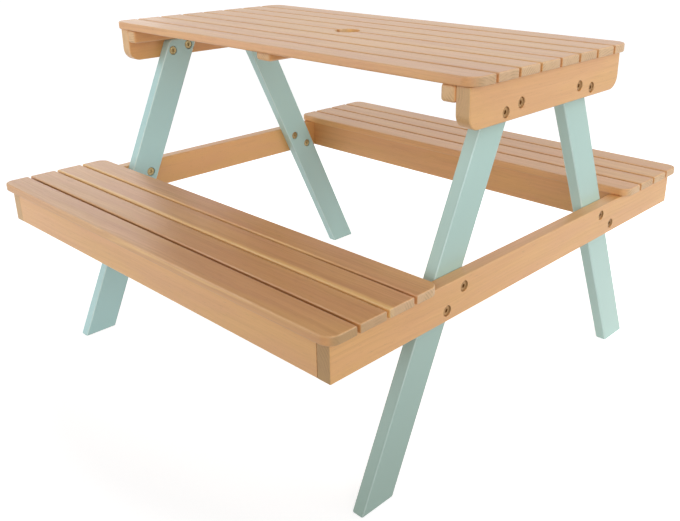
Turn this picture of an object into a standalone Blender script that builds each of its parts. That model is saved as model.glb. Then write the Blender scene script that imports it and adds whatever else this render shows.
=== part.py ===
"""Kids picnic table: two painted A-frames that carry a slatted top and two slatted benches.

X runs along the slats, Y from bench to bench and Z up. The origin is on the floor, under the
middle of the tabletop. All sizes are in metres.
"""

import math

import bmesh
import bpy

# Slats of the tabletop and of the benches
SLAT_LENGTH = 0.778
SLAT_WIDTH = 0.0425
SLAT_THICKNESS = 0.0125
SLAT_GAP = 0.0045
SLAT_OUTER_EDGE_RADIUS = 0.0023
SLAT_INNER_EDGE_RADIUS = 0.0014
TOP_CORNER_RADIUS = 0.021
SEAT_CORNER_RADIUS = 0.016
TOP_SLATS = 8
SEAT_SLATS = 4
TABLE_HEIGHT = 0.540
SEAT_HEIGHT = 0.302
PARASOL_HOLE_RADIUS = 0.0205

# Boards on edge: aprons under the tabletop and the benches, and the rails across the legs
BOARD_THICKNESS = 0.021
APRON_HEIGHT = 0.054
RAIL_HEIGHT = 0.052
BOARD_EDGE_RADIUS = 0.002
RAIL_END_RADIUS = 0.0008
APRON_CORNER_RADIUS = 0.020
APRON_INSET = 0.006
END_OVERHANG = 0.0105
SEAT_OVERHANG = 0.010
SEAT_TO_LEG_GAP = 0.0145

# Battens that the slats are screwed to from below
END_BATTEN_WIDTH = 0.022
END_BATTEN_HEIGHT = 0.022
END_BATTEN_INSET = 0.0045
MIDDLE_BATTEN_WIDTH = 0.032
MIDDLE_BATTEN_HEIGHT = 0.0135
MIDDLE_BATTEN_INSET = 0.0115
PARASOL_CLEARANCE = 0.004
BATTEN_EDGE_RADIUS = 0.003

# Legs, with their feet and tops cut level
LEG_THICKNESS = 0.019
LEG_WIDTH = 0.0525
FOOT_SPREAD = 0.685
LEG_TOP_SPREAD = 0.218
LEG_EDGE_RADIUS = 0.0026
LEG_TOP_CORNER_RADIUS = 0.011

# Connector bolts, each with a head and a sleeve nut sunk into the wood
BOLT_HEAD_RADIUS = 0.0067
NUT_HEAD_RADIUS = 0.0073
HEAD_THICKNESS = 0.0024
HEAD_CHAMFER = 0.0007
HEAD_CLEARANCE = 0.0007
HEAD_SUNK_BY = 0.0016
BOLT_SHANK_RADIUS = 0.004
SHANK_CLEARANCE = 0.0004
SOCKET_RADIUS = 0.0027
SOCKET_DEPTH = 0.0018
APRON_BOLT_SIDE_MARGIN = 0.0127
APRON_BOLT_TOP_MARGIN = 0.0127
APRON_BOLT_BOTTOM_MARGIN = 0.012
RAIL_BOLT_SIDE_MARGIN = 0.0158
RAIL_BOLT_EDGE_MARGIN = 0.0147

# Gap left between pieces that touch
FIT = 0.0003

# How finely round shapes are divided
CORNER_STEPS = 6
PARASOL_STEPS = 12
ROUND_STEPS = 16
EDGE_STEPS = 2
SHARP_ANGLE = 40

# Heights worked out from the sizes above
TOP_UNDERSIDE = TABLE_HEIGHT - SLAT_THICKNESS
APRON_TOP = TOP_UNDERSIDE - FIT
APRON_BOTTOM = APRON_TOP - APRON_HEIGHT
LEG_TOP = APRON_TOP - END_BATTEN_HEIGHT - FIT
RAIL_TOP = SEAT_HEIGHT - SLAT_THICKNESS - FIT
RAIL_BOTTOM = RAIL_TOP - RAIL_HEIGHT

# Distances from the middle along X
BOARD_OUTER_X = SLAT_LENGTH / 2 - END_OVERHANG
BOARD_INNER_X = BOARD_OUTER_X - BOARD_THICKNESS
FRAME_INNER_X = BOARD_INNER_X - FIT
LEG_INNER_X = FRAME_INNER_X - LEG_THICKNESS
BOLTED_THICKNESS = BOARD_OUTER_X - LEG_INNER_X

# Lean of the legs, as the sideways run for each metre of height
LEG_SLOPE = (FOOT_SPREAD - LEG_TOP_SPREAD) / 2 / LEG_TOP
LEG_LEAN = math.atan(LEG_SLOPE)
LEG_LEVEL_WIDTH = LEG_WIDTH / math.cos(LEG_LEAN)


def leg_outer_y(height):
    """Distance from the middle to a leg's outer edge, at this height."""
    return FOOT_SPREAD / 2 - LEG_SLOPE * height


def slats_width(count):
    return count * SLAT_WIDTH + (count - 1) * SLAT_GAP


# Distances from the middle along Y
TOP_HALF_WIDTH = slats_width(TOP_SLATS) / 2
SEAT_INNER_APRON_Y = leg_outer_y(RAIL_BOTTOM) + SEAT_TO_LEG_GAP
SEAT_INNER_Y = SEAT_INNER_APRON_Y - SEAT_OVERHANG
SEAT_OUTER_Y = SEAT_INNER_Y + slats_width(SEAT_SLATS)
RAIL_HALF_LENGTH = SEAT_OUTER_Y - SEAT_OVERHANG


def clear_scene():
    for obj in list(bpy.data.objects):
        bpy.data.objects.remove(obj, do_unlink=True)


def make_collection(name):
    collection = bpy.data.collections.new(name)
    bpy.context.scene.collection.children.link(collection)
    return collection


def make_material(name, colour, roughness, metallic=0.0):
    material = bpy.data.materials.new(name)
    material.use_nodes = True
    shader = material.node_tree.nodes["Principled BSDF"]
    shader.inputs["Base Color"].default_value = (*colour, 1.0)
    shader.inputs["Roughness"].default_value = roughness
    shader.inputs["Metallic"].default_value = metallic
    material.diffuse_color = (*colour, 1.0)
    return material


def place(obj, collection, parent, material):
    for holder in list(obj.users_collection):
        holder.objects.unlink(obj)
    collection.objects.link(obj)
    obj.parent = parent
    if material:
        obj.data.materials.clear()
        obj.data.materials.append(material)


def round_edges(obj, radius, steps=EDGE_STEPS):
    """Rounds every edge that is sharper than the steps of a rounded corner."""
    bevel = obj.modifiers.new("Rounded edges", "BEVEL")
    bevel.width = radius
    bevel.segments = steps
    bevel.limit_method = "ANGLE"
    bevel.angle_limit = math.radians(SHARP_ANGLE)


def round_edges_by(obj, radius, share_of):
    """Rounds each sharp edge by a share of the radius, which share_of gives from its two ends."""
    form = bmesh.new()
    form.from_mesh(obj.data)
    weights = form.edges.layers.float.new("bevel_weight_edge")
    for edge in form.edges:
        if edge.calc_face_angle() > math.radians(SHARP_ANGLE):
            edge[weights] = share_of(edge.verts[0].co, edge.verts[1].co)
    form.to_mesh(obj.data)
    form.free()
    bevel = obj.modifiers.new("Rounded edges", "BEVEL")
    bevel.width = radius
    bevel.segments = EDGE_STEPS
    bevel.limit_method = "WEIGHT"


def cut(obj, cutters):
    for cutter in cutters:
        boolean = obj.modifiers.new("Cut " + cutter.name, "BOOLEAN")
        boolean.operation = "DIFFERENCE"
        boolean.solver = "EXACT"
        boolean.object = cutter


def box(name, low, high):
    """A box between two corners, with its origin in its middle."""
    bpy.ops.mesh.primitive_cube_add(size=1)
    obj = bpy.context.object
    obj.name = name
    obj.data.name = name
    sides = [top - bottom for bottom, top in zip(low, high)]
    for vertex in obj.data.vertices:
        vertex.co = [value * side for value, side in zip(vertex.co, sides)]
    obj.location = [(bottom + top) / 2 for bottom, top in zip(low, high)]
    return obj


def arc(centre, radius, start, end, steps):
    """Points along an arc, with its angles in degrees."""
    points = []
    for step in range(steps + 1):
        angle = math.radians(start + (end - start) * step / steps)
        points.append((centre[0] + radius * math.cos(angle), centre[1] + radius * math.sin(angle)))
    return points


def plate(name, outline, thickness):
    """A flat outline in its own XY plane with a thickness along Z, half on each side."""
    curve = bpy.data.curves.new(name, "CURVE")
    curve.dimensions = "2D"
    curve.fill_mode = "BOTH"
    curve.extrude = thickness / 2
    spline = curve.splines.new("POLY")
    spline.points.add(len(outline) - 1)
    for point, (x, y) in zip(spline.points, outline):
        point.co = (x, y, 0, 1)
    spline.use_cyclic_u = True
    guide = bpy.data.objects.new(name + "_outline", curve)
    bpy.context.scene.collection.objects.link(guide)
    graph = bpy.context.evaluated_depsgraph_get()
    mesh = bpy.data.meshes.new_from_object(guide.evaluated_get(graph))
    bpy.data.objects.remove(guide, do_unlink=True)
    bpy.data.curves.remove(curve)
    form = bmesh.new()
    form.from_mesh(mesh)
    bmesh.ops.remove_doubles(form, verts=form.verts, dist=0.00001)
    bmesh.ops.dissolve_limit(form, angle_limit=math.radians(1), verts=form.verts, edges=form.edges)
    bmesh.ops.recalc_face_normals(form, faces=form.faces)
    form.to_mesh(mesh)
    form.free()
    mesh.name = name
    return bpy.data.objects.new(name, mesh)


def stand_across(obj):
    """Turns a plate to stand in the YZ plane, with its outline's X along Y."""
    obj.rotation_euler = (math.pi / 2, 0, math.pi / 2)


def slat_outline(corner_radius, hole):
    """A slat's outline. Its +Y edge faces out, and its -Y edge faces the middle of the set.

    corner_radius rounds the two ends of the outer edge. hole cuts half of the parasol hole,
    whose centre lies in the middle of the gap beside the inner edge.
    """
    half_length = SLAT_LENGTH / 2
    half_width = SLAT_WIDTH / 2
    points = []
    if corner_radius:
        middle_x = half_length - corner_radius
        middle_y = half_width - corner_radius
        points += arc((middle_x, middle_y), corner_radius, 0, 90, CORNER_STEPS)
        points += arc((-middle_x, middle_y), corner_radius, 90, 180, CORNER_STEPS)
    else:
        points += [(half_length, half_width), (-half_length, half_width)]
    points.append((-half_length, -half_width))
    if hole:
        start = math.degrees(math.asin(SLAT_GAP / 2 / PARASOL_HOLE_RADIUS))
        centre = (0, -half_width - SLAT_GAP / 2)
        points += arc(centre, PARASOL_HOLE_RADIUS, 180 - start, start, PARASOL_STEPS)
    points.append((half_length, -half_width))
    return points


def slat(name, y, top, outward, corner_radius=0, hole=False):
    """One slat, lying level. outward is the side, 1 or -1 along Y, that its outer edge faces."""
    obj = plate(name, slat_outline(corner_radius, hole), SLAT_THICKNESS)
    obj.location = (0, y, top - SLAT_THICKNESS / 2)
    if outward < 0:
        obj.rotation_euler = (0, 0, math.pi)
    inner_share = SLAT_INNER_EDGE_RADIUS / SLAT_OUTER_EDGE_RADIUS

    def share_of(first, second):
        upright = abs(first.z - second.z) > SLAT_THICKNESS / 2
        at_end = min(abs(first.x), abs(second.x)) > SLAT_LENGTH / 2 - SLAT_THICKNESS
        at_outer_edge = corner_radius and min(first.y, second.y) > FIT - SLAT_WIDTH / 2
        outer = at_outer_edge or (at_end and not upright)
        return 1 if outer else inner_share

    round_edges_by(obj, SLAT_OUTER_EDGE_RADIUS, share_of)
    return obj


def slat_rows(count, first_y):
    """The middle line of each slat in a set, from the set's low edge along Y."""
    pitch = SLAT_WIDTH + SLAT_GAP
    return [first_y + SLAT_WIDTH / 2 + index * pitch for index in range(count)]


def tabletop_slats():
    """Slats with rounded outer corners at both edges, and the parasol hole in the middle pair."""
    slats = []
    middle = TOP_SLATS // 2
    for index, y in enumerate(slat_rows(TOP_SLATS, -TOP_HALF_WIDTH), 1):
        corner_radius = TOP_CORNER_RADIUS if index in (1, TOP_SLATS) else 0
        at_hole = index in (middle, middle + 1)
        side = -1 if index <= middle else 1
        slats.append(slat(f"top_slat_{index}", y, TABLE_HEIGHT, side, corner_radius, at_hole))
    return slats


def seat_slats(bench, side):
    """One bench's slats, counted from its outer edge."""
    slats = []
    low_y = SEAT_INNER_Y if side > 0 else -SEAT_OUTER_Y
    rows = slat_rows(SEAT_SLATS, low_y)
    if side > 0:
        rows.reverse()
    for index, y in enumerate(rows, 1):
        corner_radius = SEAT_CORNER_RADIUS if index in (1, SEAT_SLATS) else 0
        outward = -side if index == SEAT_SLATS else side
        name = f"{bench}_seat_slat_{index}"
        slats.append(slat(name, y, SEAT_HEIGHT, outward, corner_radius))
    return slats


def end_batten(name, end, low_y, high_y, top):
    """A batten along the inner face of an end board. end is the side along X."""
    xs = sorted((end * FRAME_INNER_X, end * (FRAME_INNER_X - END_BATTEN_WIDTH)))
    obj = box(name, (xs[0], low_y, top - END_BATTEN_HEIGHT), (xs[1], high_y, top))
    round_edges(obj, BATTEN_EDGE_RADIUS)
    return obj


def middle_batten(name, low_y, high_y, top):
    half = MIDDLE_BATTEN_WIDTH / 2
    obj = box(name, (-half, low_y, top - MIDDLE_BATTEN_HEIGHT), (half, high_y, top))
    round_edges(obj, BATTEN_EDGE_RADIUS)
    return obj


def tabletop_battens():
    """One batten over the legs at each end, and two short ones beside the parasol hole."""
    reach = TOP_HALF_WIDTH - END_BATTEN_INSET
    battens = [
        end_batten("top_batten_right", 1, -reach, reach, APRON_TOP),
        end_batten("top_batten_left", -1, -reach, reach, APRON_TOP),
    ]
    inner = PARASOL_HOLE_RADIUS + PARASOL_CLEARANCE
    outer = TOP_HALF_WIDTH - MIDDLE_BATTEN_INSET
    battens.append(middle_batten("top_batten_middle_front", -outer, -inner, APRON_TOP))
    battens.append(middle_batten("top_batten_middle_back", inner, outer, APRON_TOP))
    return battens


def apron_outline():
    half = TOP_HALF_WIDTH - APRON_INSET
    radius = min(APRON_CORNER_RADIUS, APRON_HEIGHT * 0.9)
    low = APRON_BOTTOM + radius
    points = [(half, APRON_TOP), (-half, APRON_TOP)]
    points += arc((radius - half, low), radius, 180, 270, CORNER_STEPS)
    points += arc((half - radius, low), radius, 270, 360, CORNER_STEPS)
    return points


def tabletop_apron(name, end):
    """The end board under the tabletop, with its two lower corners rounded."""
    obj = plate(name, apron_outline(), BOARD_THICKNESS)
    stand_across(obj)
    obj.location = (end * (BOARD_INNER_X + BOARD_THICKNESS / 2), 0, 0)
    round_edges(obj, BOARD_EDGE_RADIUS)
    return obj


def rail(name, end):
    """The long board across both legs of a frame, which carries the benches' ends."""
    xs = sorted((end * BOARD_INNER_X, end * BOARD_OUTER_X))
    low = (xs[0], -RAIL_HALF_LENGTH, RAIL_BOTTOM)
    high = (xs[1], RAIL_HALF_LENGTH, RAIL_TOP)
    obj = box(name, low, high)

    def share_of(first, second):
        along = abs(first.y - second.y) > RAIL_HALF_LENGTH
        return 1 if along else RAIL_END_RADIUS / BOARD_EDGE_RADIUS

    round_edges_by(obj, BOARD_EDGE_RADIUS, share_of)
    return obj


def seat_apron(name, side, near_y, far_y):
    """A board along a bench, cut square between the rails. near_y and far_y are its faces."""
    ys = sorted((side * near_y, side * far_y))
    low = (-FRAME_INNER_X, ys[0], RAIL_BOTTOM)
    high = (FRAME_INNER_X, ys[1], RAIL_TOP)
    obj = box(name, low, high)

    def share_of(first, second):
        return 1 if abs(first.x - second.x) > FRAME_INNER_X else 0

    round_edges_by(obj, BOARD_EDGE_RADIUS, share_of)
    return obj


def bench_frame(bench, side):
    """The aprons and battens of one bench."""
    inner_back = SEAT_INNER_APRON_Y + BOARD_THICKNESS
    outer_back = RAIL_HALF_LENGTH - BOARD_THICKNESS
    low_y, high_y = sorted((side * (inner_back + FIT), side * (outer_back - FIT)))
    return [
        seat_apron(f"{bench}_seat_apron_inner", side, SEAT_INNER_APRON_Y, inner_back),
        seat_apron(f"{bench}_seat_apron_outer", side, outer_back, RAIL_HALF_LENGTH),
        end_batten(f"{bench}_seat_batten_right", 1, low_y, high_y, RAIL_TOP),
        end_batten(f"{bench}_seat_batten_left", -1, low_y, high_y, RAIL_TOP),
        middle_batten(f"{bench}_seat_batten_middle", low_y, high_y, RAIL_TOP),
    ]


def leg_outline(side):
    """A leaning leg seen along X, with level ends and a rounded outer top corner."""
    foot_outer = leg_outer_y(0)
    top_outer = leg_outer_y(LEG_TOP)
    points = [(foot_outer - LEG_LEVEL_WIDTH, 0), (foot_outer, 0)]
    lean = math.degrees(LEG_LEAN)
    radius = min(LEG_TOP_CORNER_RADIUS, LEG_LEVEL_WIDTH / 2)
    tangent = radius * math.tan(math.radians(90 - lean) / 2)
    centre = (top_outer - tangent, LEG_TOP - radius)
    points += arc(centre, radius, lean, 90, CORNER_STEPS)
    points.append((top_outer - LEG_LEVEL_WIDTH, LEG_TOP))
    return [(side * y, z) for y, z in points]


def leg(name, end, side):
    obj = plate(name, leg_outline(side), LEG_THICKNESS)
    stand_across(obj)
    obj.location = (end * (LEG_INNER_X + LEG_THICKNESS / 2), 0, 0)
    round_edges(obj, LEG_EDGE_RADIUS, EDGE_STEPS + 1)
    return obj


def bolt_places(side):
    """(y, z) of a leg's bolts: two through the apron, then two through the rail."""
    apron = [
        (-1, APRON_BOLT_SIDE_MARGIN, LEG_TOP - APRON_BOLT_TOP_MARGIN),
        (1, APRON_BOLT_SIDE_MARGIN, APRON_BOTTOM + APRON_BOLT_BOTTOM_MARGIN),
    ]
    rail_bolts = [
        (-1, RAIL_BOLT_SIDE_MARGIN, RAIL_TOP - RAIL_BOLT_EDGE_MARGIN),
        (1, RAIL_BOLT_SIDE_MARGIN, RAIL_BOTTOM + RAIL_BOLT_EDGE_MARGIN),
    ]
    places = []
    for outward, margin, z in apron + rail_bolts:
        middle = leg_outer_y(z) - LEG_LEVEL_WIDTH / 2
        sideways = (LEG_WIDTH / 2 - margin) / math.cos(LEG_LEAN)
        places.append((side * (middle + outward * sideways), z))
    return places


def turned(name, profile):
    """A solid turned about its own Z axis. The profile runs from top to bottom at +X."""
    form = bmesh.new()
    points = [form.verts.new((radius, 0, z)) for radius, z in profile]
    for first, second in zip(points, points[1:]):
        form.edges.new((first, second))
    mesh = bpy.data.meshes.new(name)
    form.to_mesh(mesh)
    form.free()
    obj = bpy.data.objects.new(name, mesh)
    screw = obj.modifiers.new("Turned", "SCREW")
    screw.steps = ROUND_STEPS
    screw.render_steps = ROUND_STEPS
    screw.use_merge_vertices = True
    screw.merge_threshold = 0.00001
    screw.use_normal_calculate = False
    return obj


def face_outward(obj, end, x, y, z):
    """Lays a turned piece along X, with its top facing the outside of this end."""
    obj.rotation_euler = (0, end * math.pi / 2, 0)
    obj.location = (end * x, y, z)


def bolt_hole(name, end, y, z):
    """Cutter for one bolt: a sunk hole in the board's outer face and in the leg's inner face."""
    depth = HEAD_SUNK_BY + HEAD_THICKNESS + FIT
    head_floor = BOLTED_THICKNESS - depth
    beyond = BOARD_THICKNESS / 2
    shank_hole = BOLT_SHANK_RADIUS + SHANK_CLEARANCE
    head_hole = BOLT_HEAD_RADIUS + HEAD_CLEARANCE
    nut_hole = NUT_HEAD_RADIUS + HEAD_CLEARANCE
    profile = [
        (0, BOLTED_THICKNESS + beyond),
        (head_hole, BOLTED_THICKNESS + beyond),
        (head_hole, head_floor),
        (shank_hole, head_floor),
        (shank_hole, depth),
        (nut_hole, depth),
        (nut_hole, -beyond),
        (0, -beyond),
    ]
    obj = turned(name, profile)
    face_outward(obj, end, LEG_INNER_X, y, z)
    obj.hide_render = True
    obj.display_type = "WIRE"
    return obj


def bolt_mesh(cutters):
    """The shared mesh of a bolt with its sleeve nut, its head on top, and a hexagon in each end."""
    head_top = BOLTED_THICKNESS - HEAD_SUNK_BY
    head_seat = head_top - HEAD_THICKNESS
    nut_bottom = HEAD_SUNK_BY
    nut_seat = nut_bottom + HEAD_THICKNESS
    profile = [
        (0, head_top),
        (BOLT_HEAD_RADIUS - HEAD_CHAMFER, head_top),
        (BOLT_HEAD_RADIUS, head_top - HEAD_CHAMFER),
        (BOLT_HEAD_RADIUS, head_seat),
        (BOLT_SHANK_RADIUS, head_seat),
        (BOLT_SHANK_RADIUS, nut_seat),
        (NUT_HEAD_RADIUS, nut_seat),
        (NUT_HEAD_RADIUS, nut_bottom + HEAD_CHAMFER),
        (NUT_HEAD_RADIUS - HEAD_CHAMFER, nut_bottom),
        (0, nut_bottom),
    ]
    bolt = turned("bolt_pattern", profile)
    bpy.context.scene.collection.objects.link(bolt)
    for end_z in (head_top, nut_bottom):
        bpy.ops.mesh.primitive_cylinder_add(
            vertices=6, radius=SOCKET_RADIUS, depth=2 * SOCKET_DEPTH, location=(0, 0, end_z)
        )
        socket = bpy.context.object
        socket.name = "bolt_socket"
        place(socket, cutters, None, None)
        socket.hide_render = True
        socket.display_type = "WIRE"
        cut(bolt, [socket])
    graph = bpy.context.evaluated_depsgraph_get()
    mesh = bpy.data.meshes.new_from_object(bolt.evaluated_get(graph))
    bpy.data.objects.remove(bolt, do_unlink=True)
    mesh.name = "connector_bolt"
    mesh.shade_smooth()
    mesh.set_sharp_from_angle(angle=math.radians(30))
    return mesh


def main():
    clear_scene()
    parts = make_collection("kids_picnic_table")
    cutters = make_collection("cutters")
    root = bpy.data.objects.new("table_origin", None)
    parts.objects.link(root)

    slat_wood = make_material("slat_wood", (0.58, 0.40, 0.27), 0.55)
    board_wood = make_material("board_wood", (0.66, 0.42, 0.22), 0.55)
    leg_paint = make_material("leg_paint", (0.42, 0.57, 0.52), 0.45)
    bolt_metal = make_material("bolt_metal", (0.55, 0.42, 0.22), 0.35, 1.0)

    for obj in tabletop_slats() + seat_slats("front", -1) + seat_slats("back", 1):
        place(obj, parts, root, slat_wood)
    for obj in tabletop_battens() + bench_frame("front", -1) + bench_frame("back", 1):
        place(obj, parts, root, board_wood)

    bolt = bolt_mesh(cutters)
    for end_name, end in (("right", 1), ("left", -1)):
        apron = tabletop_apron(f"top_apron_{end_name}", end)
        seat_rail = rail(f"seat_rail_{end_name}", end)
        place(apron, parts, root, board_wood)
        place(seat_rail, parts, root, board_wood)
        for side_name, side in (("front", -1), ("back", 1)):
            frame_leg = leg(f"leg_{end_name}_{side_name}", end, side)
            place(frame_leg, parts, root, leg_paint)
            for index, (y, z) in enumerate(bolt_places(side), 1):
                name = f"bolt_{end_name}_{side_name}_{index}"
                hole = bolt_hole(name + "_hole", end, y, z)
                place(hole, cutters, root, None)
                cut(apron if index <= 2 else seat_rail, [hole])
                cut(frame_leg, [hole])
                fastener = bpy.data.objects.new(name, bolt)
                face_outward(fastener, end, LEG_INNER_X, y, z)
                place(fastener, parts, root, bolt_metal)


main()
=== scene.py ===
"""Looks of the kids picnic table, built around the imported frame."""

import math
import random

import bmesh
import bpy
import numpy as np
from mathutils import Matrix, Vector


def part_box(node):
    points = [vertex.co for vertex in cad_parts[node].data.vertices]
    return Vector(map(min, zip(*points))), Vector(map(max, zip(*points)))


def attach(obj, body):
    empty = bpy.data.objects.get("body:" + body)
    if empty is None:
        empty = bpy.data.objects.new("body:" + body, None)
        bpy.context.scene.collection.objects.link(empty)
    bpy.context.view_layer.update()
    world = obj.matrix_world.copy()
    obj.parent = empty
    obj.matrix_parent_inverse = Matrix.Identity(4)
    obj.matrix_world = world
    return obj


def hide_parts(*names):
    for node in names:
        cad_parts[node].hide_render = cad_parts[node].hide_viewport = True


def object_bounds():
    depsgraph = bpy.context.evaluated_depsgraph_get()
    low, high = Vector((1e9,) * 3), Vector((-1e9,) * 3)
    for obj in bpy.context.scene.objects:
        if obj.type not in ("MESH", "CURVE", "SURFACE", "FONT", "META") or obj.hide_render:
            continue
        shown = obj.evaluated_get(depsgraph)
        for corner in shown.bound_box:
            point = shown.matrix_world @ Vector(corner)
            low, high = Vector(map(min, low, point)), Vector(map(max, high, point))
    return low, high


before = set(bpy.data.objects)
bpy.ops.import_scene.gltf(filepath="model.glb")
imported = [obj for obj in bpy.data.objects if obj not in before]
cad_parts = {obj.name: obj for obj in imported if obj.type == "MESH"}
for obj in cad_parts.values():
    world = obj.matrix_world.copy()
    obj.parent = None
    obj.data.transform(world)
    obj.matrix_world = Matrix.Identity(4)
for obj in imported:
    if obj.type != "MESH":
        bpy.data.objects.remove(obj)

cad_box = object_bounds()

# Shapes, in metres, as in the CAD model, with some edges finer or rounder
TOP_CORNER_RADIUS = 0.021
SEAT_CORNER_RADIUS = 0.016
OUTER_EDGE_RADIUS = 0.0023
INNER_EDGE_RADIUS = 0.0014
SLAT_GAP = 0.0045
PARASOL_RADIUS = 0.0205
BOARD_EDGE_RADIUS = 0.002
RAIL_END_RADIUS = 0.0016
APRON_CORNER_RADIUS = 0.020
BATTEN_EDGE_RADIUS = 0.0045
LEG_EDGE_RADIUS = 0.0026
LEG_TOP_CORNER_RADIUS = 0.011
LEG_WIDTH = 0.0525
FOOT_SPREAD = 0.685
LEG_TOP_SPREAD = 0.218
BOLT_HEAD_RADIUS = 0.0067
NUT_HEAD_RADIUS = 0.0073
HEAD_THICKNESS = 0.0024
HEAD_CHAMFER = 0.0007
HEAD_CLEARANCE = 0.0007
HEAD_SUNK_BY = 0.0016
SHANK_RADIUS = 0.004
SHANK_CLEARANCE = 0.0004
SOCKET_RADIUS = 0.0027
SOCKET_DEPTH = 0.0020
SOCKET_FLARE = 0.0004
SOCKET_TIP = 0.0008
FIT = 0.0003
HOLE_FLARE = 0.0004

# How far the hexagons in the bolts are turned, in radians
SOCKET_TURN = 0.3

# Screws under the battens, which the solids leave out
SCREW_HEAD_RADIUS = 0.0036
SCREW_RADIUS = 0.0017
SCREW_DEPTH = 0.0095
SCREW_SUNK_BY = 0.0004
SCREW_CLEARANCE = 0.0002
SCREW_RIM = 0.0003
SCREW_TIP = 0.0008
SCREW_STRAY = 0.0012
SIDE_SCREW_RISE = 0.001
RECESS_LENGTH = 0.0044
RECESS_WIDTH = 0.0010
RECESS_DEPTH = 0.0017
SCREW_EDGE_DISTANCE = 0.008
SCREW_SLAT_DISTANCE = 0.006

# Where the sideways screws are, as shares of a batten's length
TOP_SIDE_SCREWS = (0.30, 0.54, 0.78)
BENCH_SIDE_SCREWS = (0.32, 0.68)

# How far a cutter stands out of what it cuts
BEYOND = 0.01
RECESS_BEYOND = 0.001
SCREW_BEYOND = 0.004

# How finely curves are divided
EDGE_STEPS = 4
CORNER_STEPS = 12
ROUND_STEPS = 40
SCREW_STEPS = 24
CHAMFER_STEPS = 3

# From which angle on, in degrees, an edge is rounded, or is shaded as sharp
ROUNDED_FROM = 40
WOOD_SHARP_FROM = 32
METAL_SHARP_FROM = 30

# How strongly large faces set the shading beside them
NORMAL_WEIGHT = 80

X_AXIS, Y_AXIS, Z_AXIS = (1, 0, 0), (0, 1, 0), (0, 0, 1)

# A turned profile's point within this radius is on the axis
ON_AXIS = 1e-9

# Where the pieces lie in their logs, in metres from the pith and along it. PITH_BELOW, a share of
# that distance, moves the pith further below the middle of a piece
PITH_DISTANCES = (0.035, 0.11)
PITH_BELOW = 0.4
LEG_PITH = (0.02, 0.05)
LOG_LENGTH = 30

# Pale sapwood along slats of the front bench, which also paints the highlight that their edges
# catch at the gaps: its width, and how it narrows along X
SAP_AND_HIGHLIGHT_STRIPS = {1: (-0.0014, 0.0), 3: (0.0032, -0.0045), 4: (0.0044, 0.0082)}

# Depths in sapwood, below 0 outside it: on pieces that have none, and on the slats with the
# parasol hole, first on its wall and then away from it
NO_SAP = -1.0
HOLE_WALL_SAP, HOLE_RIM_SAP = 0.0002, -0.006
HOLE_WALL_THICKNESS = 0.0002

# How far up the feet are darkened, by a little dust on all legs and by painted shade on the
# front right leg, how much on each leg, and the painted contact shadow at the floor
DUST_AND_SHADE_HEIGHT = 0.42
DUST_AND_SHADE = {"leg_right_front": 1.0}
LEAST_DUST_AND_SHADE = 0.15
CONTACT_SHADOW_HEIGHT = 0.003
PAINTED_CONTACT_SHADOW = 0.6

# How much cool light from the left is painted into a leg's colour, from 0 to 1
COOL_LIGHT_SHARE = {"leg_left_front": 0.9, "leg_left_back": 0.5}

# How dark, how rosy and how marked in its end grain a piece is, mostly from 0 to 1
TONES = {
    "top_slat_1": (0.50, 0.80, 0.45), "top_slat_2": (0.55, 0.65, 0.20),
    "top_slat_3": (0.15, 0.60, 0.05), "top_slat_4": (0.40, 0.25, 0.15),
    "top_slat_5": (0.40, 0.25, 0.10), "top_slat_6": (0.35, 0.30, 0.25),
    "top_slat_7": (0.20, 0.85, 0.10), "top_slat_8": (0.30, 0.75, 0.00),
    "front_seat_slat_1": (1.28, 0.20, 1.00), "front_seat_slat_2": (1.17, 0.20, 0.60),
    "front_seat_slat_3": (1.02, 0.55, 0.15), "front_seat_slat_4": (0.68, 0.45, 0.05),
    "back_seat_slat_1": (0.45, 0.70, 0.10), "back_seat_slat_2": (0.35, 0.45, 0.15),
    "back_seat_slat_3": (0.60, 0.40, 0.35), "back_seat_slat_4": (0.36, 0.42, 0.05),
    "top_apron_right": (0.36, 0.25, 0.40), "top_apron_left": (0.00, 0.40, 0.00),
    "seat_rail_right": (0.50, 0.30, 0.95), "seat_rail_left": (-0.45, 0.40, 0.40),
    "front_seat_apron_outer": (0.15, 0.40, 0.50), "back_seat_apron_inner": (0.85, 0.35, 0.50),
    "top_batten_right": (0.10, 0.30, -0.30), "top_batten_left": (0.15, 0.20, 0.00),
    "top_batten_middle_front": (0.30, 0.50, 0.10),
}

# Colours, each with red, green and blue from 0 to 1
SAPWOOD = (0.92, 0.57, 0.21)
SLAT_COLOURS = {
    "light": (0.88, 0.48, 0.18), "dark": (0.53, 0.22, 0.065), "sap": SAPWOOD,
    "end": (0.80, 0.56, 0.33), "end_deep": (0.50, 0.32, 0.15),
}
BOARD_COLOURS = {
    "light": (0.88, 0.476, 0.165), "dark": (0.53, 0.230, 0.062), "sap": SAPWOOD,
    "end": (0.88, 0.60, 0.32), "end_deep": (0.42, 0.26, 0.11),
}
GOLDEN = (0.78, 0.47, 0.15)
ROSY = (0.76, 0.36, 0.21)
PORE_COLOUR = (0.27, 0.15, 0.07)
END_FLECK = (0.22, 0.14, 0.07)
# Lighter arrises, from wear and a painted highlight
WOOD_WEAR_AND_HIGHLIGHT = (0.93, 0.67, 0.38)
# Painted shade in the gaps between slats
PAINTED_GAP_SHADE = (0.60, 0.50, 0.38)
PAINT = (0.515, 0.735, 0.675)
# The paint as lit by cool light, painted on the legs at the left
COOL_LIT_PAINT = (0.505, 0.785, 0.79)
DARK_PAINT = (0.41, 0.60, 0.55)
# Lighter arrises of the paint, from wear and a painted highlight
PAINT_WEAR_AND_HIGHLIGHT = (0.76, 0.96, 0.93)
# The colour that darkens the feet, for dust and painted shade
DUST_AND_SHADE_COLOUR = (0.65, 0.635, 0.60)
PLATING = (0.44, 0.34, 0.165)
DULL_PLATING = (0.21, 0.16, 0.08)
BRONZE = (0.34, 0.175, 0.07)

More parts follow.
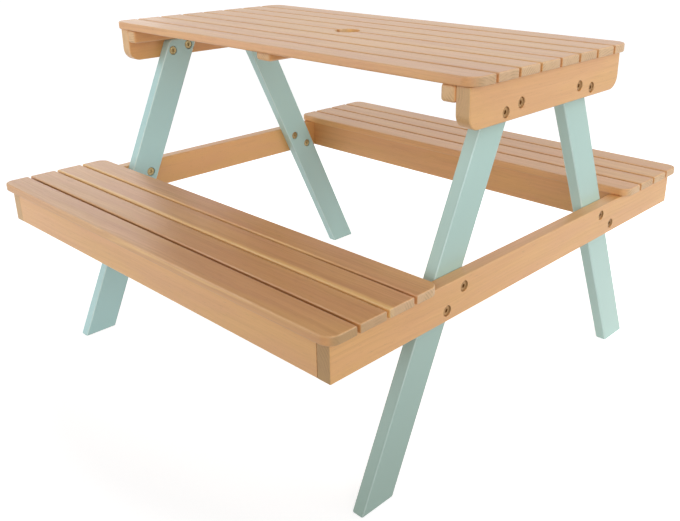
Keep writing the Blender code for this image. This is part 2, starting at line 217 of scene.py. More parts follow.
# Growth rings for each metre of the log's radius, and turning marks on the bolts
RINGS = 260.0
TURNING_MARKS = 28000.0

# A side is in a gap where its normal has this share along Y. Painted shade darkens it between two
# depths below the top, and fades towards the slats' ends
IN_GAP_FROM = 0.75
GAP_SHADE_FROM, GAP_SHADE_TO = 0.0005, 0.0024
GAP_FADES_FROM_X = 0.350

# The floor: its shade by the distance from its lightest point, and its glow, for the camera and
# reflections, by the distance from the table's middle. Then the soft light all around
FLOOR_SIZE = 14
FLOOR_LIGHTEST = (-0.2, 0.55, 0.0)
FLOOR_SHADES, FLOOR_SHADES_REACH = (0.85, 0.25), (0.5, 1.3)
FLOOR_GLOW, FLOOR_GLOW_REACH = (0.78, 0.94), (0.50, 0.64)
SURROUNDINGS = 0.06
# Each soft light of the surroundings: azimuth, rise, sharpness, strength
GLOWS = [(45, 0.25, 4.0, 1.75), (184, 0.25, 4.0, 1.3)]
# Each lamp: its place, what it aims at, its size and its power
LAMPS = {
    "left_front": ((-1.1, -1.5, 0.7), (-0.3, -0.2, 0.3), (1.4, 1.4), 9.5),
    "right_back": ((1.7, 0.9, 0.95), (0.3, 0.1, 0.3), (1.4, 1.4), 10.4),
    "front": ((2.07, -1.57, 0.80), (0.3, -0.2, 0.3), (1.2, 1.2), 6.0),
    "top": ((0.0, 0.0, 1.5), (0.0, 0.0, 0.5), (1.0, 0.5), 1.3),
    "left": ((-1.7, 0.2, 0.8), (0, 0, 0.3), (1.0, 1.0), 1.7),
}

# The camera, as fitted to the photo's edges. Azimuth is from the front towards the right
CAMERA_PLACE = (0.9259, -0.9216, 0.7122)
CAMERA_AZIMUTH = 43.142
CAMERA_ELEVATION = 21.715
CAMERA_ROLL = -0.142
CAMERA_LENS = 42.54
CAMERA_SENSOR = 36
CAMERA_SHIFT = (-0.0537, -0.0394)
CAMERA_CLIP_START = 0.01

dice = random.Random(41)


# Mesh helpers

def arc(centre, radius, start, end, steps):
    points = []
    for step in range(steps + 1):
        angle = math.radians(start + (end - start) * step / steps)
        points.append((centre[0] + radius * math.cos(angle), centre[1] + radius * math.sin(angle)))
    return points


def as_drawn(u, v, level):
    return u, v, level


def prism(outline, low, high, turn=as_drawn):
    """A closed solid from an outline, between two levels. turn gives the place of (u, v, level)."""
    form = bmesh.new()
    bottom = [form.verts.new(turn(u, v, low)) for u, v in outline]
    top = [form.verts.new(turn(u, v, high)) for u, v in outline]
    form.faces.new(list(reversed(bottom)))
    form.faces.new(top)
    count = len(outline)
    for i in range(count):
        j = (i + 1) % count
        form.faces.new((bottom[i], bottom[j], top[j], top[i]))
    bmesh.ops.recalc_face_normals(form, faces=form.faces)
    mesh = bpy.data.meshes.new("form")
    form.to_mesh(mesh)
    form.free()
    return bpy.data.objects.new("form", mesh)


def block(low, high):
    outline = [(low.x, low.y), (high.x, low.y), (high.x, high.y), (low.x, high.y)]
    return prism(outline, low.z, high.z)


def evenly(first, second):
    return 1


def rounded(obj, radius, share_of=evenly):
    """Rounds each sharp edge by a share of the radius, from the places of its two ends."""
    form = bmesh.new()
    form.from_mesh(obj.data)
    weights = form.edges.layers.float.new("bevel_weight_edge")
    for edge in form.edges:
        if edge.calc_face_angle() > math.radians(ROUNDED_FROM):
            edge[weights] = share_of(edge.verts[0].co, edge.verts[1].co)
    form.to_mesh(obj.data)
    form.free()
    bevel = obj.modifiers.new("Rounded edges", "BEVEL")
    bevel.width = radius
    bevel.segments = EDGE_STEPS
    bevel.limit_method = "WEIGHT"
    bevel.use_clamp_overlap = False


def turned(profile, place=Matrix.Identity(4), steps=ROUND_STEPS):
    """A closed solid turned about Z. The profile's first and last points lie on the axis."""
    form = bmesh.new()
    rings = []
    for radius, z in profile:
        if radius < ON_AXIS:
            rings.append([form.verts.new((0, 0, z))])
            continue
        ring = []
        for step in range(steps):
            angle = 2 * math.pi * step / steps
            ring.append(form.verts.new((radius * math.cos(angle), radius * math.sin(angle), z)))
        rings.append(ring)
    for first, second in zip(rings, rings[1:]):
        for i in range(steps):
            j = (i + 1) % steps
            if len(first) == 1:
                form.faces.new((first[0], second[i], second[j]))
            elif len(second) == 1:
                form.faces.new((first[i], first[j], second[0]))
            else:
                form.faces.new((first[i], first[j], second[j], second[i]))
    bmesh.ops.recalc_face_normals(form, faces=form.faces)
    form.transform(place)
    mesh = bpy.data.meshes.new("turned")
    form.to_mesh(mesh)
    form.free()
    return bpy.data.objects.new("turned", mesh)


def joined(objects):
    """One object with the meshes of several, which are then gone."""
    form = bmesh.new()
    for obj in objects:
        form.from_mesh(obj.data)
        bpy.data.objects.remove(obj)
    mesh = bpy.data.meshes.new("joined")
    form.to_mesh(mesh)
    form.free()
    return bpy.data.objects.new("joined", mesh)


def cut(obj, cutter):
    boolean = obj.modifiers.new("Cut", "BOOLEAN")
    boolean.operation = "DIFFERENCE"
    boolean.solver = "EXACT"
    boolean.object = cutter


def final_mesh(obj, cutters=()):
    """The object's mesh with its modifiers applied. The object and its cutters are then gone."""
    used = [obj, *cutters]
    for item in used:
        bpy.context.scene.collection.objects.link(item)
    graph = bpy.context.evaluated_depsgraph_get()
    mesh = bpy.data.meshes.new_from_object(obj.evaluated_get(graph))
    for item in used:
        bpy.data.objects.remove(item)
    return mesh


# Finished pieces

def set_values(mesh, name, kind, domain, values):
    layer = mesh.attributes.new(name, kind, domain)
    field = "vector" if kind == "FLOAT_VECTOR" else "value"
    layer.data.foreach_set(field, np.asarray(values, np.float32).ravel())


def vectors(elements, field):
    """One row of x, y and z for each point or face of a mesh."""
    values = np.zeros(len(elements) * 3, np.float32)
    elements.foreach_get(field, values)
    return values.reshape(-1, 3)


def grain_values(mesh, along, across, pith, shift):
    """Gives each point its place in the log, and each face its share of end grain and arris."""
    points = vectors(mesh.vertices, "co")
    middle = (points.min(0) + points.max(0)) / 2
    along = np.array(along, float)
    along /= np.linalg.norm(along)
    across = np.array(across, float)
    across -= along * across.dot(along)
    across /= np.linalg.norm(across)
    depth = np.cross(along, across)
    local = (points - middle) @ np.array([along, across, depth]).T
    local += np.array([shift, pith[0], pith[1]])
    set_values(mesh, "grain", "FLOAT_VECTOR", "POINT", local)

    normals = vectors(mesh.polygons, "normal")
    set_values(mesh, "end_grain", "FLOAT", "FACE", np.abs(normals @ along))
    slant = np.degrees(np.arccos(np.clip(np.abs(normals @ depth), 0, 1)))
    set_values(mesh, "arris", "FLOAT", "FACE", 1 - np.abs(slant - 45) / 45)


def gap_values(mesh, sides):
    """Marks the sides facing a narrow gap, for painted shade, and how far each point lies below the
    top.
    """
    heights = vectors(mesh.vertices, "co")[:, 2]
    set_values(mesh, "sunk", "FLOAT", "POINT", heights.max() - heights)
    across = vectors(mesh.polygons, "normal")[:, 1]
    in_gap = np.zeros(len(mesh.polygons), bool)
    for side in sides:
        in_gap |= across * side > IN_GAP_FROM
    set_values(mesh, "in_gap", "FLOAT", "FACE", in_gap)


def smooth_sides(mesh, sharp_from):
    mesh.shade_smooth()
    mesh.set_sharp_from_angle(angle=math.radians(sharp_from))


def piece(name, mesh, material, nodes=()):
    """Puts a finished mesh in the scene, in the place of its CAD nodes."""
    mesh.name = name
    mesh.materials.clear()
    mesh.materials.append(material)
    obj = bpy.data.objects.new(name, mesh)
    bpy.context.scene.collection.objects.link(obj)
    weighted = obj.modifiers.new("Weighted normals", "WEIGHTED_NORMAL")
    weighted.keep_sharp = True
    weighted.weight = NORMAL_WEIGHT
    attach(obj, "root")
    for node in nodes:
        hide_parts(node)


def wooden(node, mesh, along, across, material, sap_depth=None, gap_sides=()):
    """A wooden piece in the place of one node. sap_depth gives a point's depth in pale sapwood."""
    turn = dice.uniform(0, math.pi)
    away = dice.uniform(*PITH_DISTANCES)
    pith = (away * math.cos(turn), away * (PITH_BELOW + abs(math.sin(turn))))
    grain_values(mesh, along, across, pith, dice.uniform(0, LOG_LENGTH))
    any_tone = (dice.random(), dice.random(), dice.random())
    tone = TONES.get(node, any_tone)
    set_values(mesh, "tone", "FLOAT_VECTOR", "POINT", np.tile(tone, (len(mesh.vertices), 1)))
    depths = [sap_depth(point.co) if sap_depth else NO_SAP for point in mesh.vertices]
    set_values(mesh, "sap", "FLOAT", "POINT", depths)
    gap_values(mesh, gap_sides)
    smooth_sides(mesh, WOOD_SHARP_FROM)
    piece(node + "_finished", mesh, material, [node])


# Materials

class Tree:
    """Short ways to add and join nodes in one material."""

    def __init__(self, name):
        self.material = bpy.data.materials.new(name)
        self.material.use_nodes = True
        self.nodes = self.material.node_tree.nodes
        self.links = self.material.node_tree.links
        self.shader = self.nodes["Principled BSDF"]

    @classmethod
    def over(cls, node_tree):
        tree = cls.__new__(cls)
        tree.nodes = node_tree.nodes
        tree.links = node_tree.links
        return tree

    def put(self, socket, value):
        if isinstance(value, bpy.types.NodeSocket):
            self.links.new(value, socket)
        elif isinstance(value, tuple) and len(value) == 3 and socket.type == "RGBA":
            socket.default_value = (*value, 1.0)
        else:
            socket.default_value = value

    def node(self, kind, inputs=(), **settings):
        node = self.nodes.new(kind)
        for key, value in settings.items():
            setattr(node, key, value)
        for key, value in dict(inputs).items():
            self.put(node.inputs[key], value)
        return node

    def attribute(self, name, output="Fac"):
        return self.node("ShaderNodeAttribute", attribute_name=name).outputs[output]

    def math(self, operation, a, b=0.0, c=0.0, clamp=False):
        inputs = {0: a, 1: b, 2: c}
        return self.node("ShaderNodeMath", inputs, operation=operation, use_clamp=clamp).outputs[0]

    def vector(self, operation, a, b):
        return self.node("ShaderNodeVectorMath", {0: a, 1: b}, operation=operation).outputs[0]

    def length(self, a):
        return self.node("ShaderNodeVectorMath", {0: a}, operation="LENGTH").outputs["Value"]

    def on_table(self):
        """A point's X, Y and Z on the table, in metres."""
        place = self.node("ShaderNodeTexCoord").outputs["Object"]
        return self.node("ShaderNodeSeparateXYZ", {0: place}).outputs

    def noise(self, place, scale, detail=2.0, roughness=0.5, output=0):
        """Noise whose grain is scale cycles for each metre along x, y and z."""
        stretched = self.vector("MULTIPLY", place, scale)
        inputs = {"Vector": stretched, "Scale": 1.0, "Detail": detail, "Roughness": roughness}
        return self.node("ShaderNodeTexNoise", inputs).outputs[output]

    def seen(self):
        """1 for the camera and for reflections, 0 for light that falls on the object."""
        path = self.node("ShaderNodeLightPath").outputs
        return self.math("MAXIMUM", path["Is Camera Ray"], path["Is Glossy Ray"])

    def sway(self, place, scale, detail, reach):
        """An offset across the log that changes from place to place."""
        offset = self.noise(place, scale, detail, output="Color")
        offset = self.vector("SUBTRACT", offset, (0.5, 0.5, 0.5))
        return self.vector("MULTIPLY", offset, (0.0, reach, reach))

    def log_radius(self, place):
        """The distance from the log's axis."""
        return self.length(self.vector("MULTIPLY", place, (0.0, 1.0, 1.0)))

    def ending(self):
        """1 on the cut ends of a piece and 0 on its sides."""
        return self.ranged(self.attribute("end_grain"), 0.55, 0.98)

    def wear_and_highlight(self, place, scale, spread, least, strength):
        """How much the arrises are lightened, in patches, by wear and a painted highlight."""
        patchy = self.ranged(self.noise(place, scale), 0.5 - spread, 0.5 + spread, least, 1.0)
        wear_and_highlight = self.math("MULTIPLY", self.ranged(self.attribute("arris"), 0.3, 0.7), patchy)
        return self.math("MULTIPLY", wear_and_highlight, strength)

    def ranged(self, value, low, high, to_low=0.0, to_high=1.0, smooth=True):
        inputs = {0: value, 1: low, 2: high, 3: to_low, 4: to_high}
        kind = "SMOOTHSTEP" if smooth else "LINEAR"
        return self.node("ShaderNodeMapRange", inputs, interpolation_type=kind).outputs[0]

    def mix(self, factor, a, b, blend="MIX"):
        node = self.node("ShaderNodeMix", data_type="RGBA", blend_type=blend)
        self.put(node.inputs[0], factor)
        self.put(node.inputs[6], a)
        self.put(node.inputs[7], b)
        return node.outputs[2]

    def bump(self, height, distance, strength):
        inputs = {"Height": height, "Distance": distance, "Strength": strength}
        return self.node("ShaderNodeBump", inputs).outputs[0]


def wood(name, light, dark, sap, end, end_deep, reach=1.0):
    """Finely streaked wood with a thin clear finish, cut from a log whose axis is grain x.

    reach is how far its figure goes from the light to the dark colour.
    """
    tree = Tree(name)
    place = tree.attribute("grain", "Vector")
    tone = tree.node("ShaderNodeSeparateXYZ", {0: tree.attribute("tone", "Vector")})
    tone_light, tone_hue, tone_figure = tone.outputs

    # The log isn't quite straight
    slow = tree.sway(place, (3.5, 11.0, 11.0), 2.0, 0.016)
    quick = tree.sway(place, (26.0, 24.0, 24.0), 1.0, 0.0022)
    bent = tree.vector("ADD", tree.vector("ADD", place, slow), quick)

    # Growth rings, each darker towards its outer side, and fainter in places
    within = tree.math("FRACT", tree.math("MULTIPLY", tree.log_radius(bent), RINGS))
    late = tree.math("POWER", within, 2.5)
    drop = tree.ranged(within, 0.93, 1.0, 1.0, 0.0)
    ring = tree.math("MULTIPLY", late, drop)
    ring_strength = tree.ranged(tree.noise(bent, (1.5, 60.0, 60.0), 1.0), 0.35, 0.68)
    ring = tree.math("MULTIPLY", ring, ring_strength)

    # Marks that run along the grain, from coarse to fine, and clouds
    streak = tree.noise(bent, (5.0, 330.0, 330.0), 3.0, 0.6)
    band = tree.noise(bent, (2.2, 75.0, 75.0), 2.0, 0.5)
    fibre = tree.noise(bent, (42.0, 2400.0, 2400.0), 2.0, 0.6)
    pore = tree.ranged(tree.noise(bent, (75.0, 1900.0, 1900.0), 1.0), 0.66, 0.78)
    cloud = tree.noise(place, (3.0, 14.0, 14.0), 2.0, 0.5)

    # How dark each place is
    depth = tree.math("MULTIPLY", tree.ranged(streak, 0.28, 0.72), 0.28)
    depth = tree.math("MULTIPLY_ADD", tree.ranged(band, 0.25, 0.75), 0.26, depth)
    depth = tree.math("MULTIPLY_ADD", tree.ranged(fibre, 0.2, 0.8), 0.12, depth)
    depth = tree.math("MULTIPLY_ADD", ring, 0.28, depth)
    depth = tree.math("MULTIPLY_ADD", tree.ranged(cloud, 0.3, 0.7), 0.22, depth)
    depth = tree.math("MULTIPLY_ADD", tone_light, 0.42, depth)
    depth = tree.math("SUBTRACT", depth, 0.36)
    depth = tree.math("MULTIPLY", depth, reach, clamp=True)
    colour = tree.mix(depth, light, dark)

    # Golden and rosy places
    blush = tree.ranged(tree.noise(place, (6.0, 30.0, 30.0), 2.0, 0.55), 0.32, 0.68, 0.0, 0.6)
    blush = tree.math("MULTIPLY_ADD", tone_hue, 0.4, blush)
    golden = tree.mix(0.22, colour, GOLDEN)
    rosy = tree.mix(0.34, colour, ROSY)
    colour = tree.mix(blush, golden, rosy)

    # Sapwood with an uneven edge, which along the front bench's slat edges also paints a highlight,
    # then pores
    uneven = tree.math("SUBTRACT", band, 0.5)
    edge = tree.math("MULTIPLY_ADD", uneven, 0.010, tree.attribute("sap"))
    sapwood = tree.ranged(edge, -0.0012, 0.0012)
    pale = tree.mix(tree.math("MULTIPLY", streak, 0.4), sap, light)
    colour = tree.mix(sapwood, colour, pale)
    colour = tree.mix(tree.math("MULTIPLY", pore, 0.35), colour, PORE_COLOUR)

    # Cut ends
    ending = tree.ending()
    end_colour = tree.mix(tone_figure, end, end_deep)
    end_ring = tuple(0.6 * part for part in end_deep)
    end_colour = tree.mix(tree.math("MULTIPLY", ring, 0.7), end_colour, end_ring)
    end_fine = tree.noise(place, (300.0, 1500.0, 1500.0), 2.0, 0.7)
    fleck = tree.ranged(end_fine, 0.35, 0.75, 0.0, 0.25)
    end_colour = tree.mix(fleck, end_colour, END_FLECK)
    colour = tree.mix(tree.math("MULTIPLY", ending, 0.75), colour, end_colour)

    # Arrises lighter from wear and a painted highlight, and painted shade in the gaps between slats
    wear_and_highlight = tree.wear_and_highlight(place, (24.0, 90.0, 90.0), 0.15, 0.25, 0.24)
    colour = tree.mix(wear_and_highlight, colour, WOOD_WEAR_AND_HIGHLIGHT)
    # Painted shade in the gaps, deeper below the top, less on sapwood and towards the slats' ends
    below_top = tree.ranged(tree.attribute("sunk"), GAP_SHADE_FROM, GAP_SHADE_TO)
    gap_shade = tree.math("MULTIPLY", tree.attribute("in_gap"), below_top)
    gap_shade = tree.math("MULTIPLY", gap_shade, tree.ranged(sapwood, 0.0, 1.0, 0.75, 0.0, False))
    from_middle = tree.math("ABSOLUTE", tree.on_table()["X"])
    to_end = tree.ranged(from_middle, GAP_FADES_FROM_X, cad_box[1].x, 1.0, 0.1)
    gap_shade = tree.math("MULTIPLY", gap_shade, to_end)
    colour = tree.mix(gap_shade, colour, tree.mix(1.0, colour, PAINTED_GAP_SHADE, "MULTIPLY"))
    tree.put(tree.shader.inputs["Base Color"], colour)

    rough = tree.math("MULTIPLY_ADD", streak, 0.16, 0.36)
    rough = tree.math("MULTIPLY_ADD", ending, 0.22, rough)
    rough = tree.math("MULTIPLY_ADD", pore, 0.12, rough)
    tree.put(tree.shader.inputs["Roughness"], rough)
    tree.shader.inputs["Coat Weight"].default_value = 0.42
    tree.shader.inputs["Coat Roughness"].default_value = 0.26

    relief = tree.math("MULTIPLY", streak, 0.7)
    relief = tree.math("MULTIPLY_ADD", fibre, 0.35, relief)
    relief = tree.math("MULTIPLY_ADD", ring, -0.30, relief)
    relief = tree.math("MULTIPLY_ADD", pore, -0.5, relief)
    relief = tree.math("MULTIPLY_ADD", tree.math("MULTIPLY", end_fine, ending), 0.8, relief)
    tree.put(tree.shader.inputs["Normal"], tree.bump(relief, 0.00018, 0.6))
    return tree.material


def paint(name, colour, light, dark, cool_lit):
    """Satin paint over wood, with the grain just showing. The arrises are lighter from wear and a
    painted highlight, cool light is painted into some legs, and the feet are darker from dust and
    painted shade, with a painted contact shadow at the floor.
    """
    tree = Tree(name)
    place = tree.attribute("grain", "Vector")
    grain = tree.noise(place, (9.0, 420.0, 420.0), 3.0, 0.6)
    cloud = tree.noise(place, (9.0, 14.0, 14.0), 3.0, 0.5)
    peel = tree.noise(place, (420.0, 420.0, 420.0), 2.0, 0.5)
    # Painted cool light on the legs at the left
    shade = tree.mix(tree.attribute("cool_light"), colour, cool_lit)
    shade = tree.mix(tree.ranged(cloud, 0.25, 0.75, 0.0, 0.08), shade, dark)
    shade = tree.mix(tree.ranged(grain, 0.45, 0.8, 0.0, 0.04), shade, dark)
    ending = tree.ending()
    shade = tree.mix(tree.math("MULTIPLY", ending, 0.35), shade, dark)
    # Arrises lighter towards the light colour, from wear and a painted highlight
    wear_and_highlight = tree.wear_and_highlight(place, (30.0, 120.0, 120.0), 0.2, 0.75, 0.75)
    shade = tree.mix(wear_and_highlight, shade, light)
    # Feet darker towards the floor from dust and painted shade, and a painted contact shadow at the
    # floor
    height = tree.on_table()["Z"]
    near_floor = tree.ranged(height, 0.0, DUST_AND_SHADE_HEIGHT, 1.0, 0.0, False)
    contact_shadow = tree.ranged(height, 0.0, CONTACT_SHADOW_HEIGHT, PAINTED_CONTACT_SHADOW, 0.0, False)
    dust_and_shade = tree.math("MULTIPLY_ADD", tree.attribute("dust_and_shade"), near_floor, contact_shadow)
    shade = tree.mix(dust_and_shade, shade, tree.mix(1.0, shade, DUST_AND_SHADE_COLOUR, "MULTIPLY"))
    tree.put(tree.shader.inputs["Base Color"], shade)
    rough = tree.math("MULTIPLY_ADD", peel, 0.08, 0.26)
    rough = tree.math("MULTIPLY_ADD", ending, 0.12, rough)
    tree.put(tree.shader.inputs["Roughness"], rough)
    relief = tree.math("MULTIPLY", grain, 0.35)
    relief = tree.math("MULTIPLY_ADD", peel, 0.4, relief)
    tree.put(tree.shader.inputs["Normal"], tree.bump(relief, 0.0001, 0.35))
    return tree.material


def plated(name, colour, dull, bronze):
    """Yellow plated steel with fine turning marks and some staining. The bolt heads are bronze."""
    tree = Tree(name)
    place = tree.attribute("grain", "Vector")
    marks = tree.math("SINE", tree.math("MULTIPLY", tree.log_radius(place), TURNING_MARKS))
    stain = tree.noise(place, (380.0, 380.0, 380.0), 3.0, 0.6)
    shade = tree.mix(tree.ranged(stain, 0.35, 0.75), colour, dull)
    shade = tree.mix(tree.math("MULTIPLY", tree.attribute("head"), 0.75), shade, bronze)
    tree.put(tree.shader.inputs["Base Color"], shade)
    tree.shader.inputs["Metallic"].default_value = 1.0
    rough = tree.math("MULTIPLY_ADD", stain, 0.25, 0.24)
    tree.put(tree.shader.inputs["Roughness"], rough)
    relief = tree.math("MULTIPLY_ADD", stain, 0.5, tree.math("MULTIPLY", marks, 0.3))
    tree.put(tree.shader.inputs["Normal"], tree.bump(relief, 0.00003, 0.6))
    return tree.material


SLAT_WOOD = wood("slat_wood_looks", **SLAT_COLOURS)
BOARD_WOOD = wood("board_wood_looks", **BOARD_COLOURS, reach=0.7)
LEG_PAINT = paint("leg_paint_looks", PAINT, PAINT_WEAR_AND_HIGHLIGHT, DARK_PAINT, COOL_LIT_PAINT)
BOLT_METAL = plated("bolt_metal_looks", PLATING, DULL_PLATING, BRONZE)


# Slats

def hole_sap(point):
    """The fresh wall of the parasol hole is as pale as sapwood."""
    on_wall = math.hypot(point.x, point.y) < PARASOL_RADIUS + HOLE_WALL_THICKNESS
    return HOLE_WALL_SAP if on_wall else HOLE_RIM_SAP


def edge_sap_and_highlight(edge_y, width, fade):
    """A strip of sapwood, which also paints a highlight, along a slat's lower Y edge, narrower by
    fade for each metre along X.
    """
    return lambda point: edge_y + width - fade * (point.x - cad_box[0].x) - point.y


def slat(node, outward, corner_radius=0.0, hole=False, sap_depth=None):
    """One slat. outward is the side, 1 or -1 along Y, that its outer edge faces."""
    low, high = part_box(node)
    half_length = (high.x - low.x) / 2
    half_width = (high.y - low.y) / 2
    middle = (low.y + high.y) / 2
    points = []
    if corner_radius:
        x, y = half_length - corner_radius, half_width - corner_radius
        points += arc((x, y), corner_radius, 0, 90, CORNER_STEPS)
        points += arc((-x, y), corner_radius, 90, 180, CORNER_STEPS)
    else:
        points += [(half_length, half_width), (-half_length, half_width)]
    points.append((-half_length, -half_width))
    if hole:
        start = math.degrees(math.asin(SLAT_GAP / 2 / PARASOL_RADIUS))
        centre = (0, -half_width - SLAT_GAP / 2)
        points += arc(centre, PARASOL_RADIUS, 180 - start, start, 2 * CORNER_STEPS)
    points.append((half_length, -half_width))
    thickness = high.z - low.z
    obj = prism(points, low.z, high.z, lambda u, v, w: (u * outward, middle + v * outward, w))

    def share_of(first, second):
        upright = abs(first.z - second.z) > thickness / 2
        at_end = min(abs(first.x), abs(second.x)) > half_length - thickness
        out = [(point.y - middle) * outward for point in (first, second)]
        outer = (corner_radius and min(out) > FIT - half_width) or (at_end and not upright)
        return 1 if outer else INNER_EDGE_RADIUS / OUTER_EDGE_RADIUS

    rounded(obj, OUTER_EDGE_RADIUS, share_of)
    gap_sides = (-outward,) if corner_radius else (outward,) if hole else (-1, 1)
    mesh = final_mesh(obj)
    wooden(node, mesh, X_AXIS, Y_AXIS, SLAT_WOOD, sap_depth, gap_sides)


for number in range(1, 9):
    by_hole = number in (4, 5)
    slat(f"top_slat_{number}", -1 if number <= 4 else 1,
         TOP_CORNER_RADIUS if number in (1, 8) else 0.0, by_hole, hole_sap if by_hole else None)
for bench, side in (("front", -1), ("back", 1)):
    for number in range(1, 5):
        node = f"{bench}_seat_slat_{number}"
        strip = None
        # Pale sapwood strips, which also paint the highlight that the slat edges catch at the gaps
        if bench == "front" and number in SAP_AND_HIGHLIGHT_STRIPS:
            strip = edge_sap_and_highlight(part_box(node)[0].y, *SAP_AND_HIGHLIGHT_STRIPS[number])
        slat(node, -side if number == 4 else side,
             SEAT_CORNER_RADIUS if number in (1, 4) else 0.0, False, strip)


# Bolt places

def bolt_place(node):
    """The (y, z) of a bolt's axis, and its end along X."""
    low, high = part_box(node)
    return (low.y + high.y) / 2, (low.z + high.z) / 2, 1 if high.x > 0 else -1


def along_x(end, x, y, z):
    """Lays a turned form along X, with its top facing the outside of this end."""
    return Matrix.Translation((end * x, y, z)) @ Matrix.Rotation(end * math.pi / 2, 4, "Y")


# A bolt holds a leg and the board on its outer side
LEG_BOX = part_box("leg_right_front")
LEG_INNER_X = LEG_BOX[0].x
BOARD_OUTER_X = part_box("seat_rail_right")[1].x
BOLTED = BOARD_OUTER_X - LEG_INNER_X


def bolt_cutter(node):
    """Cuts the sunk holes for a bolt, each with a slightly eased mouth."""
    y, z, end = bolt_place(node)
    depth = HEAD_SUNK_BY + HEAD_THICKNESS + FIT
    head_hole = BOLT_HEAD_RADIUS + HEAD_CLEARANCE
    nut_hole = NUT_HEAD_RADIUS + HEAD_CLEARANCE
    shank_hole = SHANK_RADIUS + SHANK_CLEARANCE
    profile = [
        (0, BOLTED + BEYOND),
        (head_hole + HOLE_FLARE, BOLTED + BEYOND),
        (head_hole + HOLE_FLARE, BOLTED),
        (head_hole, BOLTED - HOLE_FLARE),
        (head_hole, BOLTED - depth),
        (shank_hole, BOLTED - depth),
        (shank_hole, depth),
        (nut_hole, depth),
        (nut_hole, HOLE_FLARE),
        (nut_hole + HOLE_FLARE, 0),
        (nut_hole + HOLE_FLARE, -BEYOND),
        (0, -BEYOND),
    ]
    return turned(profile, along_x(end, LEG_INNER_X, y, z))


# Boards and rails

def board_along_y(node, bolts, outline=None):
    """An upright board along Y, with the sunk holes of its bolts."""
    low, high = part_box(node)
    if outline is None:
        outline = [(low.y, low.z), (high.y, low.z), (high.y, high.z), (low.y, high.z)]
    obj = prism(outline, low.x, high.x, lambda u, v, w: (w, u, v))
    is_rail = node.startswith("seat")

    def share_of(first, second):
        along = abs(first.y - second.y) > (high.y - low.y) / 2
        return RAIL_END_RADIUS / BOARD_EDGE_RADIUS if is_rail and not along else 1

    rounded(obj, BOARD_EDGE_RADIUS, share_of)
    cutters = [bolt_cutter(bolt) for bolt in bolts]
    for cutter in cutters:
        cut(obj, cutter)
    wooden(node, final_mesh(obj, cutters), Y_AXIS, Z_AXIS, BOARD_WOOD)


def only_along_x(first, second):
    return 1 if abs(first.x - second.x) > abs(first.y - second.y) + abs(first.z - second.z) else 0


def apron_outline(low, high):
    radius = APRON_CORNER_RADIUS
    points = [(high.y, high.z), (low.y, high.z)]
    points += arc((low.y + radius, low.z + radius), radius, 180, 270, CORNER_STEPS)
    points += arc((high.y - radius, low.z + radius), radius, 270, 360, CORNER_STEPS)
    return points


for end_name in ("right", "left"):
    for node, numbers in ((f"top_apron_{end_name}", (1, 2)), (f"seat_rail_{end_name}", (3, 4))):
        bolts = [f"bolt_{end_name}_{side}_{n}" for side in ("front", "back") for n in numbers]
        shape = apron_outline(*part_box(node)) if node.startswith("top") else None
        board_along_y(node, bolts, shape)

for bench in ("front", "back"):
    for place_name in ("inner", "outer"):
        node = f"{bench}_seat_apron_{place_name}"
        low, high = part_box(node)
        obj = block(low, high)
        rounded(obj, BOARD_EDGE_RADIUS, only_along_x)
        wooden(node, final_mesh(obj), X_AXIS, Z_AXIS, BOARD_WOOD)


# Battens and screws

def screw_form(place):
    """A countersunk screw that points along its own -Z, with a cross recess."""
    head = SCREW_HEAD_RADIUS
    cone = head - SCREW_RADIUS
    end = SCREW_CLEARANCE - SCREW_DEPTH
    profile = [(0, 0), (head - SCREW_RIM, 0), (head, -SCREW_RIM), (SCREW_RADIUS, -SCREW_RIM - cone)]
    profile += [(SCREW_RADIUS, end + SCREW_TIP), (0, end)]
    screw = turned(profile, steps=SCREW_STEPS)
    arms = []
    for x, y in ((RECESS_LENGTH / 2, RECESS_WIDTH / 2), (RECESS_WIDTH / 2, RECESS_LENGTH / 2)):
        arms.append(prism([(-x, -y), (x, -y), (x, y), (-x, y)], -RECESS_DEPTH, RECESS_BEYOND))
    for arm in arms:
        cut(screw, arm)
    mesh = final_mesh(screw, arms)
    mesh.transform(place)
    return bpy.data.objects.new("screw", mesh)


def screw_cutter(place):
    """Cuts a screw's countersunk hole."""
    head = SCREW_HEAD_RADIUS + SCREW_CLEARANCE
    core = SCREW_RADIUS + SCREW_CLEARANCE
    profile = [(0, SCREW_BEYOND), (head, SCREW_BEYOND)]
    profile += [(head, -SCREW_RIM), (core, -SCREW_RIM - head + core)]
    profile += [(core, -SCREW_DEPTH), (0, -SCREW_DEPTH)]
    return turned(profile, place, SCREW_STEPS)


def facing(x, y, z, direction, turn):
    """Puts a screw's head here, facing this direction and turned about its axis."""
    rotation = Vector(direction).to_track_quat("Z", "Y").to_matrix().to_4x4()
    return Matrix.Translation((x, y, z)) @ rotation @ Matrix.Rotation(turn, 4, "Z")


screws = {"tabletop": [], "front_bench": [], "back_bench": []}


